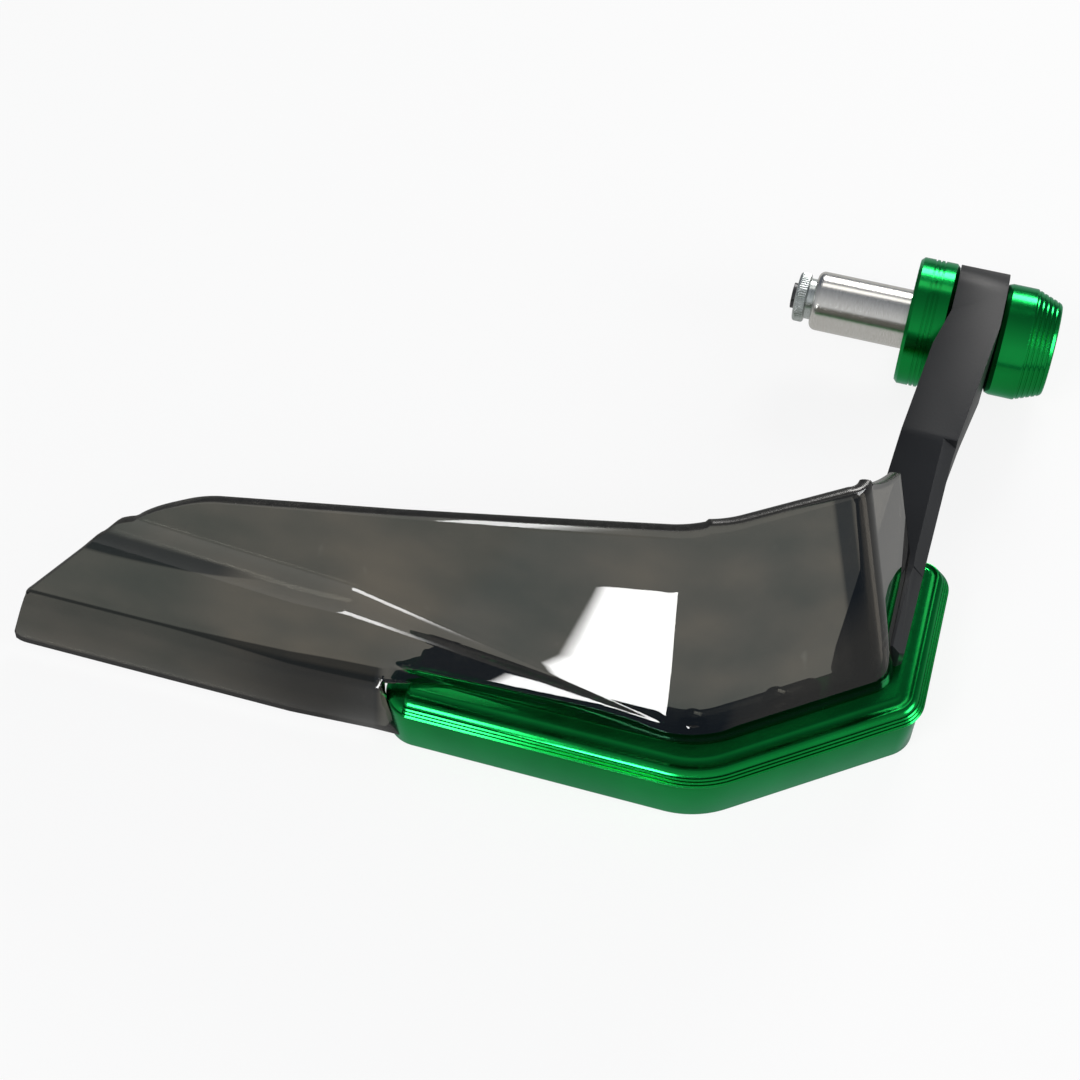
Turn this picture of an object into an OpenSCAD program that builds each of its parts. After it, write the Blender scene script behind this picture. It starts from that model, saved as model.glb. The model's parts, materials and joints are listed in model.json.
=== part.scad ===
// Left-hand motorcycle hand guard on a bar-end plug.
// The X axis is the handlebar's axis and points outboard, -Y is forward and +Z is up.
// The origin is on the bar axis, at the collar face that meets the end of the handlebar.

/* [Bar-end plug] */
// Radius of the sleeve that goes into the handlebar
sleeve_r = 7; // [6:0.25:9]
// Length of the sleeve
sleeve_len = 22.4; // [18:0.2:32]
// Radius of the rounding at the sleeve's inner end
sleeve_round = 1.6; // [0.8:0.1:1.8]
// Width of the slots that let the sleeve spread
slot_w = 1.4; // [0.8:0.1:2]
// Length of those slots
slot_len = 14; // [8:0.5:16]
// Visible gap between the sleeve and the nut's rim
nut_gap = 1.6; // [1:0.1:3]
// Radius of the expander nut's serrated rim
nut_rim_r = 5.8; // [5.5:0.1:6.4]
// Width of that rim
nut_rim_w = 2.6; // [2:0.1:4]
// Number of serrations on the rim
nut_teeth = 24; // [16:1:32]
// Radius of the nut's neck, where its cone enters the sleeve
cone_r = 4.8; // [4.6:0.1:5]
// Length of the cone inside the sleeve
cone_len = 8; // [6:0.5:10]

/* [Collar and end cap] */
// Outer radius of the collar
collar_r = 15; // [13:0.25:17]
// Width of the collar
collar_w = 9.2; // [7:0.2:14]
// Chamfer on the collar's two edges
collar_edge = 0.8; // [0.4:0.1:1.2]
// Depth of the fine turned grooves
groove_d = 0.3; // [0.2:0.05:0.5]
// Width of each groove
groove_w = 0.4; // [0.3:0.05:0.5]
// Distance from one groove to the next
groove_pitch = 1.05; // [0.9:0.05:1.2]
// Number of grooves on the collar
collar_grooves = 3; // [1:1:4]
// Radius of the end cap where it meets the arm
cap_r = 13.1; // [11.5:0.1:14]
// Radius of the end cap's outer face
cap_end_r = 10.8; // [9.5:0.1:11.4]
// Length of the end cap
cap_len = 13.2; // [12.5:0.2:18]
// Length of the end cap's straight part
cap_straight = 7; // [5:0.5:7.5]
// Number of grooves on the cap's tapered part
cap_grooves = 5; // [2:1:5]
// Depth of the recess that hides the bolt's head
cap_recess = 9.8; // [9.6:0.1:10]

/* [Main bolt] */
// Radius of the main bolt's shank
bolt_r = 3; // [2.5:0.25:3.25]
// Radius of the bolt's socket head
bolt_head_r = 5; // [4.5:0.1:5.4]
// Height of that head
bolt_head_h = 6; // [5:0.2:6.4]
// Radius of the washer under the head
washer_r = 6.2; // [5.8:0.1:6.4]
// Thickness of the flat washer
washer_t = 1.2; // [0.8:0.1:1.4]
// Thickness of the spring washer
spring_t = 1.6; // [1.2:0.1:1.8]
// How far the bolt stands out of the nut
bolt_tail = 1; // [0.4:0.2:2]

/* [Arm] */
// Width of the arm's eye along the bar axis
eye_w = 11.3; // [9:0.1:14]
// Gap between the collar and the eye
eye_gap = 0.1; // [0.05:0.05:0.3]
// Radius of the eye
eye_r = 15; // [13.5:0.25:17]
// Forward distance from the bar axis to the crease in the arm's top
crease_y = 46; // [38:1:52]
// Forward distance to where the arm's foot becomes flat
foot_y = 76; // [68:1:82]
// Thickness of the foot on the rail
foot_t = 7; // [6:0.25:9]
// Width of the arm at the crease
arm_w = 12; // [10:0.25:14]
// Bevel along the outboard edge, seen from above
bevel_w = 2.8; // [1.5:0.1:3.5]
// Slope of that bevel
bevel_slope = 50; // [35:1:60]

/* [Guard rail] */
// Overall height of the rail
rail_h = 15.6; // [13:0.2:20]
// Forward distance from the bar axis to the rail's front
reach = 135.4; // [120:0.5:150]
// Outboard distance from the collar's inner face to the rail's side
rail_x = 22.3; // [20:0.25:26]
// Width of the rail along the front
rail_w = 16.4; // [16:0.2:19]
// Width of the rail under the arm
rail_side_w = 19.5; // [19:0.25:21]
// Angle between the rail's front and its slanted part
slant = 36.3; // [30:0.5:40]
// Inboard distance to the bend between the front and the slanted part
vertex_x = 17; // [12:0.5:24]
// Inboard distance to the rail's nose
nose_x = 86.3; // [78:0.5:100]
// Backward end of the rail, measured forward from the bar axis
rail_end_y = 67.5; // [64:0.5:70]
// Height and width of the grooved band round the top
band = 2.7; // [2:0.1:3.2]
// Number of steps in that band
band_steps = 4; // [3:1:5]
// Inset of the side wall under the band
wall_inset = 0.9; // [0.5:0.1:1.6]
// Length of the plain ledge at the nose
ledge = 6.5; // [5:0.5:9]

/* [Wind shield] */
// Thickness of the moulded sheet
sheet = 2.4; // [2:0.1:3]
// Width of the rail's top that shows in front of the shield
margin = 5.4; // [4.5:0.1:6.5]
// Backward lean of the sheet for each unit of height
lean = 0.35; // [0.25:0.01:0.45]
// Inboard lean of the side panel for each unit of height
side_lean = 0.28; // [0.2:0.01:0.32]
// Height of the top edge over the bend, above the rail's top
shield_h = 49.5; // [44:0.5:58]
// Height that the straight top edge would reach at the inboard tip
tip_h = 23; // [20:0.5:30]
// Height of the side panel's rear corner
rear_h = 29; // [24:0.5:34]
// Length of the shield beyond the rail's nose
overhang = 77; // [60:1:90]
// Depth of the folded lip below the rail's top
lip_d = 13.4; // [10:0.2:14.5]
// How far the raised lower panel stands forward of the rest
raise = 4.4; // [3:0.2:6]
// Width of the flange that is screwed to the rail
flange_w = 7.7; // [7.4:0.1:8.2]

/* [Screws] */
// Radius of the shield screws' shanks
small_r = 1.5; // [1.25:0.05:1.6]
// Radius of the arm screws' shanks
foot_screw_r = 2.5; // [2:0.1:2.75]
// Distance between the two arm screws
foot_pitch = 15; // [12:0.5:18]
// Radial clearance of a screw in its tapped hole
thread_clear = 0.05; // [0.03:0.01:0.08]
// Radial clearance of a screw in a plain hole
hole_clear = 0.3; // [0.2:0.05:0.5]

/* [Hidden] */
$fn = 72;

// A cut runs this far past the face it opens
over = 0.5;
// Clearance between pieces that face each other without a fit
fit_clear = 0.4;

// Stations along the bar axis
eye_x = collar_w + eye_gap;
cap_x = eye_x + eye_w;
seat_x = cap_x + cap_len - cap_recess;
head_x = seat_x + washer_t + spring_t;
nut_x = -sleeve_len - nut_gap;
tail_x = nut_x - nut_rim_w - bolt_tail;
recess_r = washer_r + hole_clear;
bolt_hole_r = bolt_r + hole_clear;

// Heights of the rail, which lies as low as the collar
rail_bottom = -collar_r;
rail_top = rail_bottom + rail_h;
foot_top = rail_top + foot_t;

// Arm
arm_out_x = 15.8;
arm_in_x = 1;
crease_x = 16.6;
scoop = 2.4;
relief = 0.6;
under_y = 36;
arm_slope = atan((eye_r - foot_top) / (foot_y - crease_y));

// Counts of points on a rounded corner and of the shield's stations and rows
corner_steps = 10;
rows = 8;

// Screws
head_ratio = 1.7;
socket_ratio = 0.87;
small_head_r = small_r * 1.83;
small_head_h = small_r * 2;
small_washer_t = 0.5;
small_washer_r = small_head_r + 0.2;
small_bore = small_washer_t + small_head_h + 1.5;
small_bore_r = small_washer_r + 0.2;
small_seat_z = rail_bottom + small_bore;
boss_r = small_r + 1.2;
boss_h = 4.6;
small_tip_z = rail_top + boss_h - 0.9;
foot_head_h = foot_screw_r * 2;
foot_head_r = foot_screw_r * head_ratio;
foot_washer_r = foot_head_r + 0.6;
foot_washer_t = 1;
foot_bore = foot_washer_t + foot_head_h + 0.5;
foot_bore_r = foot_washer_r + hole_clear;
foot_seat_z = rail_bottom + foot_bore;
foot_tip_z = foot_top - 1.1;
foot_screw_x = 8.6;
foot_screw_y = [-foot_y - 2, -foot_y - 2 - foot_pitch];

// Direction and point helpers
function unit(a) = [cos(a), sin(a)];
function turn(v) = [-v[1], v[0]];
function cross2(a, b) = a[0] * b[1] - a[1] * b[0];
function plan(p) = [p[0], p[1]];
function smooth(t) = let (c = min(max(t, 0), 1)) c * c * (3 - 2 * c);
function mix(a, b, t) = a + (b - a) * t;

// Where two lines meet, each given by a point and a direction
function meet(p, u, q, v) = p + u * (cross2(q - p, v) / cross2(u, v));

// Points of the arc that rounds the corner at b between a and c with radius r
function fillet(a, b, c, r, n = corner_steps) =
    let (
        u = (a - b) / norm(a - b),
        v = (c - b) / norm(c - b),
        half = acos(min(max(u * v, -1), 1)) / 2,
        middle = b + (u + v) / norm(u + v) * (r / sin(half)),
        start = b + u * (r / tan(half)) - middle,
        side = cross2(u, v) > 0 ? -1 : 1,
        sweep = (180 - 2 * half) * side
    )
    [for (i = [0:n]) let (t = sweep * i / n)
        middle + [start[0] * cos(t) - start[1] * sin(t), start[0] * sin(t) + start[1] * cos(t)]];

// Closed outline through corners [x, y, radius]; a radius of 0 keeps the corner
function rounded(c) = [
    for (i = [0:len(c) - 1])
        let (
            n = len(c),
            before = c[(i + n - 1) % n],
            after = c[(i + 1) % n]
        )
        each (c[i][2] > 0
            ? fillet(plan(before), plan(c[i]), plan(after), c[i][2])
            : [plan(c[i])])
];

// Outer corners of the rail's plan, moved inwards by d on the band's sides
along = unit(slant);
inward = turn(along);
bend = [-vertex_x, -reach];
function front_line(d) = bend + [0, d];
function slant_line(d) = bend + inward * d;
function rail_bend(d) = meet(front_line(d), [1, 0], slant_line(d), along);
function rail_corner(d) = meet([rail_x - d, 0], [0, 1], slant_line(d), along);
inner_bend = rail_bend(rail_w);
inner_corner = meet([rail_x - rail_side_w, 0], [0, 1], slant_line(rail_w), along);

// Plan of the rail at inset d, with its nose at x
function rail_plan(d, x, nose_r) = rounded([
    concat([x, -reach + d], [nose_r]),
    concat(rail_bend(d), [22 - d]),
    concat(rail_corner(d), [8 - d]),
    [rail_x - d, -rail_end_y - d * 0.5, 6 - d],
    [rail_x - rail_side_w, -rail_end_y - d * 0.5, 3],
    concat(inner_corner, [4]),
    concat(inner_bend, [8]),
    [x, -reach + rail_w, nose_r]
]);

// Shield: outer corner points of its base, at the rail's top
edge_d = band + margin;
function shield_front(d) = bend + [0, edge_d + d];
function shield_slant(d) = bend + inward * (edge_d + d);
shield_side_x = 14.8;
shield_end_x = -nose_x - overhang;
function base_bend(d) = meet(shield_front(d), [1, 0], shield_slant(d), along);
function base_corner(d, e) = meet([shield_side_x - e, 0], [0, 1], shield_slant(d), along);
shield_rear_y = 1 - foot_y;
rear_shift = 5.5;
wrap_r = 6;

// Stations of the shield: number on each stretch
tip_stations = 16;
lip_stations = 6;
nose_stations = 12;
mid_stations = 5;
side_stations = 5;
bend_stations = 8;
wrap_stations = 6;
tip_run = 41;
tip_slope = 1.12;
tip_drop = 6.9;
fold_h = 2.2;
lip_flare = 3.4;
lip_tail = 5.2;
lip_gap = 0.8;
lip_x = -nose_x + wall_inset - lip_gap;
lip_edge = 0.3;
crease_turn_x = -93.5;
crease_turn_h = 17.6;
crease_rise = 0.065;
crease_fall = 0.2;
crease_end_x = -28;
crease_run = 77;
crease_band = 0.45;

// Plan line of the shield at inset d on the front and e on the side.
// Each station is a plan point; the stations of every height match one another.
function shield_line(d, e) =
    let (
        b = base_bend(d),
        c = base_corner(d, e),
        far = [shield_end_x, b[1]],
        rear = [shield_side_x - e, shield_rear_y + rear_shift * min(e / side_lean / rear_h, 1)],
        arc_b = fillet(far, b, c, 24, bend_stations),
        arc_c = fillet(b, c, rear, wrap_r, wrap_stations),
        tip = far + [tip_run, 0],
        lip_end = [lip_x, b[1]],
        past_lip = [lip_x + lip_edge, b[1]]
    )
    concat(
        [for (i = [0:tip_stations - 1]) mix(far, tip, i / tip_stations)],
        [for (i = [0:lip_stations]) mix(tip, lip_end, i / lip_stations)],
        [for (i = [0:nose_stations - 1]) mix(past_lip, arc_b[0], i / nose_stations)],
        arc_b,
        [for (i = [1:mid_stations - 1]) mix(arc_b[bend_stations], arc_c[0], i / mid_stations)],
        arc_c,
        [for (i = [0:side_stations]) mix(arc_c[wrap_stations] + [0, 0.3], rear, i / side_stations)]
    );
bend_first = tip_stations + lip_stations + 1 + nose_stations;
bend_mid = bend_first + bend_stations / 2;
wrap_end = bend_first + bend_stations + mid_stations + wrap_stations;
side_first = wrap_end + 1;
last_station = side_first + side_stations;

// Height of the top edge above the rail's top at station i, whose base is at x
function top_h(i, x) =
    let (
        rise = mix(tip_h, shield_h, (x - shield_end_x) / (-vertex_x - shield_end_x)),
        short = max(1 - (x - shield_end_x) / tip_run, 0),
        cut = fold_h + 0.6 + tip_slope * max(x - shield_end_x - 1, 0)
    )
    i >= side_first
        ? mix(shield_h - 3, rear_h, (i - side_first) / (last_station - side_first))
        : i > bend_mid
            ? mix(shield_h, shield_h - 2, (i - bend_mid) / (wrap_end - bend_mid))
            : min(cut, rise - tip_drop * min(4.8 * short * short, 1));

// Height of the bottom edge: a lip inboard of the nose, the rail's top, and the foot's top
function bottom_h(i, x) =
    i >= side_first
        ? foot_t + 0.3 + pow((i - side_first) / side_stations, 3)
        : x < lip_x + lip_edge / 2
            ? -lip_d
            : 0;

// Forward step of the raised panel at station x; it fades towards the bend
function step_of(x) = raise * min(max((crease_end_x - x) / crease_run, 0), 1);

// Heights of the two creases between the raised panel and the upper panel
function crease_high(x) =
    crease_turn_h - (x - crease_turn_x) * (x < crease_turn_x ? crease_rise : crease_fall);
function crease_low(x) = crease_high(x) - 0.3 - step_of(x) * crease_band;

// Forward step at height h and station x
function step_out(h, x) =
    let (
        foot = max(smooth(h / 5.5), smooth((lip_x + 16 - x) / 16)),
        above = (h - crease_low(x)) / (crease_high(x) - crease_low(x))
    )
    step_of(x) * foot * (1 - min(max(above, 0), 1));

// Heights of the rows of points at station i, from the bottom edge to the top edge
function row_heights(i, x) =
    let (
        low = bottom_h(i, x),
        top = top_h(i, x),
        knee = max(low + 0.6, fold_h),
        c1 = min(max(crease_low(x), knee + 1), mix(knee, top, 0.8)),
        c2 = min(max(crease_high(x), c1 + 0.8), mix(knee, top, 0.9))
    )
    concat([low, knee, mix(knee, c1, 0.5), c1], [for (j = [0:rows - 4]) mix(c2, top, j / (rows - 4))]);

// Direction straight through the plain leaning sheet at station i, towards the inside
function through(i, h) =
    let (
        rise = max(h, 0),
        line = shield_line(lean * rise, side_lean * rise),
        higher = shield_line(lean * (rise + 1), side_lean * (rise + 1)),
        across = line[min(i + 1, last_station)] - line[max(i - 1, 0)],
        up = h < 0 ? [0, 0] : higher[i] - line[i],
        m = cross([up[0], up[1], 1], [across[0], across[1], 0])
    )
    m / norm(m);

// One point of the sheet's outer surface: station i, height h
function skin(i, h) =
    let (
        rise = max(h, 0),
        p = shield_line(lean * rise, side_lean * rise)[i],
        x = shield_line(0, 0)[i][0],
        flare = h < fold_h ? lip_flare * (fold_h - h) / (fold_h + lip_d) : 0,
        lipped = x < lip_x + lip_edge / 2 ? 1 : 0,
        shift = step_out(h, x) + flare * lipped
    )
    [
        p[0] - (i == 0 && h < 0 ? lip_tail * -h / lip_d : 0),
        p[1] - (i < bend_mid ? shift : 0),
        rail_top + h
    ];

// Fastener blank: head up at z = 0, shank down, with a hexagon socket
module socket_screw(head_radius, head_height, shank_radius, length) {
    difference() {
        union() {
            cylinder(r = head_radius, h = head_height);
            translate([0, 0, -length]) cylinder(r = shank_radius, h = length + 0.01);
        }
        translate([0, 0, head_height * 0.45])
            cylinder(r = shank_radius * socket_ratio, h = head_height, $fn = 6);
    }
}

module ring(outer, inner, thick) {
    difference() {
        cylinder(r = outer, h = thick);
        translate([0, 0, -over]) cylinder(r = inner, h = thick + 2 * over);
    }
}

// Turns a solid that stands on +Z so that it points along +X
module on_bar(x) {
    translate([x, 0, 0]) rotate([0, 90, 0]) children();
}

module turned(profile) {
    rotate_extrude() polygon(profile);
}

module expander_nut() {
    color("silver")
    difference() {
        union() {
            on_bar(nut_x - nut_rim_w) cylinder(r = nut_rim_r, h = nut_rim_w);
            on_bar(nut_x - 0.01) cylinder(r = cone_r, h = nut_gap + 0.01);
            on_bar(-sleeve_len) cylinder(r1 = cone_r, r2 = cone_r - 1, h = cone_len);
        }
        on_bar(nut_x - nut_rim_w - over)
            cylinder(r = bolt_r + thread_clear, h = sleeve_len + nut_rim_w + cone_len);
        for (i = [0:nut_teeth - 1])
            rotate([i * 360 / nut_teeth, 0, 0])
                translate([nut_x - nut_rim_w - over, nut_rim_r, 0])
                    rotate([45, 0, 0])
                        translate([0, -0.25, -0.25])
                            cube([nut_rim_w + 2 * over, 0.5, 0.5]);
    }
}

module expander_sleeve() {
    color("gainsboro")
    difference() {
        on_bar(-sleeve_len) turned(concat(
            [[bolt_hole_r, 0], [sleeve_r - sleeve_round, 0]],
            [for (i = [1:6]) let (a = -90 + i * 15)
                [sleeve_r - sleeve_round + sleeve_round * cos(a), sleeve_round + sleeve_round * sin(a)]],
            [[sleeve_r, sleeve_len], [bolt_hole_r, sleeve_len]]
        ));
        on_bar(-sleeve_len - 0.01)
            cylinder(r1 = cone_r + 0.15, r2 = cone_r - 0.85, h = cone_len + 0.01);
        for (a = [90, 0])
            rotate([a, 0, 0])
                translate([-sleeve_len - over, -slot_w / 2, -sleeve_r - over])
                    cube([slot_len + over, slot_w, sleeve_r + over]);
    }
}

// Profile points of one groove that starts at height z on a wall of radius r
function groove(r, z) = [
    [r, z], [r - groove_d, z + groove_w * 0.2],
    [r - groove_d, z + groove_w * 0.8], [r, z + groove_w]
];

module inner_collar() {
    run = (collar_grooves - 1) * groove_pitch + groove_w;
    first = (collar_w - run) / 2;
    color("forestgreen")
    on_bar(0) turned(concat(
        [[bolt_hole_r, 0], [collar_r - collar_edge, 0], [collar_r, collar_edge]],
        [for (i = [0:collar_grooves - 1]) each groove(collar_r, first + i * groove_pitch)],
        [[collar_r, collar_w - collar_edge], [collar_r - collar_edge, collar_w], [bolt_hole_r, collar_w]]
    ));
}

module end_cap() {
    taper = cap_len - cap_straight;
    fall = (cap_r - cap_end_r) / taper;
    pitch = (taper - 0.6) / cap_grooves;
    color("forestgreen")
    on_bar(cap_x) turned(concat(
        [[bolt_hole_r, 0], [cap_r - 1.2, 0], [cap_r - 0.35, 0.4], [cap_r, 1.4], [cap_r, cap_straight]],
        [for (i = [0:cap_grooves - 1])
            let (z = cap_straight + 0.3 + i * pitch, r = cap_r - (z - cap_straight) * fall)
            each [[r, z], [r - groove_d, z + 0.1], [r - groove_d, z + groove_w], [r - fall * 0.5, z + 0.5]]],
        [[cap_end_r, cap_len - 0.3], [cap_end_r - 0.4, cap_len], [recess_r + 0.4, cap_len],
         [recess_r, cap_len - 0.4], [recess_r, cap_len - cap_recess], [bolt_hole_r, cap_len - cap_recess]]
    ));
}

module main_bolt() {
    color("dimgray")
    on_bar(head_x) socket_screw(bolt_head_r, bolt_head_h, bolt_r, head_x - tail_x);
}

module flat_washer() {
    color("silver") on_bar(seat_x) ring(washer_r, bolt_hole_r, washer_t);
}

module spring_washer() {
    color("silver")
    on_bar(seat_x + washer_t)
    difference() {
        ring(washer_r - 0.9, bolt_hole_r, spring_t);
        rotate([0, 0, 40]) translate([0, -0.4, -over]) cube([washer_r, 0.8, spring_t + 2 * over]);
    }
}

// Plan of the arm: eye, leg and foot; its nose is rebated for the shield's wrapped corner
module arm_plan() {
    d = lean * foot_t;
    e = side_lean * foot_t;
    wrap = fillet(base_bend(d), base_corner(d, e), [shield_side_x - e, shield_rear_y], wrap_r);
    centre = wrap[corner_steps] - [wrap_r, 0];
    nose_r = wrap_r - sheet - fit_clear;
    step_y = centre[1] + 0.4 + fit_clear;
    end_dir = along;
    end_point = centre + unit(slant - 90) * nose_r;
    inner_end = meet(end_point, end_dir, [arm_in_x, 0], [0, 1]);
    polygon(concat(
        rounded([
            [cap_x, eye_r + 1, 0],
            [eye_x, eye_r + 1, 0],
            [eye_x, -eye_r * 0.55, 9],
            [eye_x - scoop, -eye_r * 1.3, 7],
            [crease_x - arm_w, -crease_y, 60],
            concat(inner_end, [3]),
            concat(end_point, [0])
        ]),
        [for (i = [0:corner_steps]) let (a = mix(slant - 90, 0, i / corner_steps)) centre + unit(a) * nose_r],
        [[centre[0] + nose_r, step_y], [arm_out_x - 1, step_y], [arm_out_x, step_y + 1]],
        fillet([arm_out_x, step_y], [crease_x, -crease_y - 2], [cap_x, -eye_r * 0.7], 40),
        fillet([crease_x, -crease_y - 2], [cap_x, -eye_r * 0.7], [cap_x, eye_r], 20)
    ));
}

// Side view of the arm, drawn with the forward distance to the left
module arm_profile() {
    circle(r = eye_r);
    polygon(concat(
        [[0, eye_r]],
        fillet([0, eye_r], [-crease_y, eye_r], [-foot_y, foot_top], 9, 5),
        fillet([-crease_y, eye_r], [-foot_y, foot_top], [-reach, foot_top], 30, 5),
        [[-reach, foot_top], [-reach, rail_top]],
        fillet([-reach, rail_top], [-under_y, rail_top], [-eye_r * 0.55, -eye_r * 0.83], 14, 5),
        [[-eye_r * 0.55, -eye_r * 0.83], [0, -eye_r * 0.5]]
    ));
}

// Removes the corner outboard of and above an edge that starts at p and runs forward
module bevel_cut(p, slope, yaw, length) {
    translate(p)
        rotate([slope, 0, yaw])
            translate([-bevel_w, 0, 0])
                rotate([0, bevel_slope, 0])
                    translate([0, -length, 0])
                        cube([20, length, 20]);
}

module arm() {
    yaw = atan((crease_x - arm_out_x) / (reach - rail_w - crease_y));
    sloped = norm([foot_y - crease_y, eye_r - foot_top]);
    color([0.13, 0.13, 0.14])
    difference() {
        intersection() {
            translate([0, 0, -eye_r]) linear_extrude(2 * eye_r) arm_plan();
            translate([arm_in_x - 4, 0, 0])
                rotate([90, 0, 90])
                    linear_extrude(cap_x - arm_in_x + 4) arm_profile();
        }
        on_bar(eye_x - over) cylinder(r = bolt_hole_r, h = eye_w + 2 * over);
        on_bar(eye_x - 12) cylinder(r = collar_r + relief, h = 12);
        bevel_cut([crease_x, -crease_y, eye_r], arm_slope, -yaw, sloped + 0.5);
        bevel_cut([crease_x - 0.4, -foot_y + 0.5, foot_top], 0, -yaw, reach - foot_y);
        for (y = foot_screw_y)
            translate([foot_screw_x, y, rail_top - over])
                cylinder(r = foot_screw_r + thread_clear, h = foot_tip_z + 0.4 - rail_top + over);
    }
}

// Places of the four shield screws on the flange
flange_mid = edge_d + sheet + 2;
shield_screws = [
    [-nose_x + 14, -reach + flange_mid],
    [(-nose_x - vertex_x) / 2 + 2, -reach + flange_mid],
    rail_bend(flange_mid) + [-1, 0.3],
    rail_bend(flange_mid) + along * 17
];

module guard_rail() {
    step_h = band / band_steps;
    color("forestgreen")
    difference() {
        union() {
            translate([0, 0, rail_bottom])
                linear_extrude(0.61) polygon(rail_plan(wall_inset + 0.5, -nose_x + wall_inset + 0.5, 6.5));
            translate([0, 0, rail_bottom + 0.6])
                linear_extrude(rail_h - band - 0.6)
                    polygon(rail_plan(wall_inset, -nose_x + wall_inset, 7));
            for (i = [0:band_steps - 1]) {
                translate([0, 0, rail_top - band + i * step_h - 0.01])
                    linear_extrude(step_h * 0.35 + 0.01)
                        polygon(rail_plan(i * step_h + groove_d, -nose_x + ledge, 1));
                translate([0, 0, rail_top - band + (i + 0.35) * step_h - 0.01])
                    linear_extrude(step_h * 0.65 + 0.01)
                        polygon(rail_plan(i * step_h, -nose_x + ledge, 1));
            }
        }
        translate([-nose_x + ledge + 1.5, -reach + band + 0.7, rail_top - 0.35])
            cube([nose_x - ledge - vertex_x - 8, 1.9, 1]);
        for (p = shield_screws) {
            translate([p[0], p[1], rail_bottom - over])
                cylinder(r = small_bore_r, h = small_bore + over);
            translate([p[0], p[1], rail_bottom])
                cylinder(r = small_r + hole_clear, h = rail_h + over);
        }
        for (y = foot_screw_y) {
            translate([foot_screw_x, y, rail_bottom - over])
                cylinder(r = foot_bore_r, h = foot_bore + over);
            translate([foot_screw_x, y, rail_bottom])
                cylinder(r = foot_screw_r + hole_clear, h = rail_h + over);
        }
    }
}

// Sheet of the shield: an outer and an inner grid of points, closed along the edges
module shield_sheet() {
    n = last_station + 1;
    base = shield_line(0, 0);
    heights = [for (i = [0:n - 1]) row_heights(i, base[i][0])];
    outer = [for (i = [0:n - 1]) [for (h = heights[i]) skin(i, h)]];
    inner = [for (i = [0:n - 1]) [for (j = [0:rows])
        let (p = outer[i][j] + through(i, heights[i][j]) * sheet)
        [p[0], p[1], j == 0 ? outer[i][j][2] : p[2]]]];
    m = rows + 1;
    points = concat([for (c = outer) each c], [for (c = inner) each c]);
    function id(k, i, j) = (k * n + i) * m + j;
    faces = concat(
        [for (i = [0:n - 2]) for (j = [0:rows - 1]) each
            [[id(0, i, j), id(0, i, j + 1), id(0, i + 1, j)], [id(0, i + 1, j), id(0, i, j + 1), id(0, i + 1, j + 1)]]],
        [for (i = [0:n - 2]) for (j = [0:rows - 1]) each
            [[id(1, i, j), id(1, i + 1, j), id(1, i, j + 1)], [id(1, i + 1, j), id(1, i + 1, j + 1), id(1, i, j + 1)]]],
        [for (i = [0:n - 2]) each
            [[id(0, i, 0), id(0, i + 1, 0), id(1, i, 0)], [id(1, i, 0), id(0, i + 1, 0), id(1, i + 1, 0)]]],
        [for (i = [0:n - 2]) each
            [[id(0, i, rows), id(1, i, rows), id(0, i + 1, rows)],
             [id(1, i, rows), id(1, i + 1, rows), id(0, i + 1, rows)]]],
        [for (j = [0:rows - 1]) each
            [[id(0, 0, j), id(1, 0, j), id(0, 0, j + 1)], [id(1, 0, j), id(1, 0, j + 1), id(0, 0, j + 1)]]],
        [for (j = [0:rows - 1]) each
            [[id(0, n - 1, j), id(0, n - 1, j + 1), id(1, n - 1, j)],
             [id(1, n - 1, j), id(0, n - 1, j + 1), id(1, n - 1, j + 1)]]]
    );
    polyhedron(points, faces, convexity = 6);
}

// Flange along the foot of the sheet, from the nose to just before the arm
module shield_flange() {
    out_d = edge_d + 1;
    in_d = edge_d + flange_w;
    end_x = arm_in_x - fit_clear;
    out_end = meet(slant_line(out_d), along, [end_x, 0], [0, 1]);
    in_end = meet(slant_line(in_d), along, [end_x, 0], [0, 1]);
    start_x = -nose_x + ledge + 1;
    translate([0, 0, rail_top])
        linear_extrude(sheet)
            polygon(rounded([
                [start_x, -reach + out_d, 0],
                concat(rail_bend(out_d), [22]),
                concat(out_end, [0]),
                concat(in_end, [2]),
                concat(rail_bend(in_d), [14]),
                [start_x, -reach + in_d, 2]
            ]));
}

module wind_shield() {
    color([0.25, 0.25, 0.24, 0.75])
    difference() {
        union() {
            shield_sheet();
            shield_flange();
            for (p = shield_screws)
                translate([p[0], p[1], rail_top]) cylinder(r = boss_r, h = boss_h);
        }
        for (p = shield_screws)
            translate([p[0], p[1], rail_top - over])
                cylinder(r = small_r + thread_clear, h = small_tip_z + 0.3 - rail_top + over);
    }
}

// Screw that points up from a counterbore in the rail's underside, and its washer
module lower_screw(p, seat, washer, head_radius, head_height, shank_radius, tip) {
    color("dimgray")
    translate([p[0], p[1], seat - washer])
        rotate([180, 0, 0])
            socket_screw(head_radius, head_height, shank_radius, tip - seat + washer);
}

module arm_screw(y) {
    lower_screw([foot_screw_x, y], foot_seat_z, foot_washer_t, foot_head_r, foot_head_h, foot_screw_r, foot_tip_z);
}

module arm_washer(y) {
    color("silver")
    translate([foot_screw_x, y, foot_seat_z - foot_washer_t])
        ring(foot_washer_r, foot_screw_r + hole_clear, foot_washer_t);
}

module shield_screw(p) {
    lower_screw(p, small_seat_z, small_washer_t, small_head_r, small_head_h, small_r, small_tip_z);
}

module shield_washer(p) {
    color("silver")
    translate([p[0], p[1], small_seat_z - small_washer_t])
        ring(small_washer_r, small_r + hole_clear, small_washer_t);
}

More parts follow.
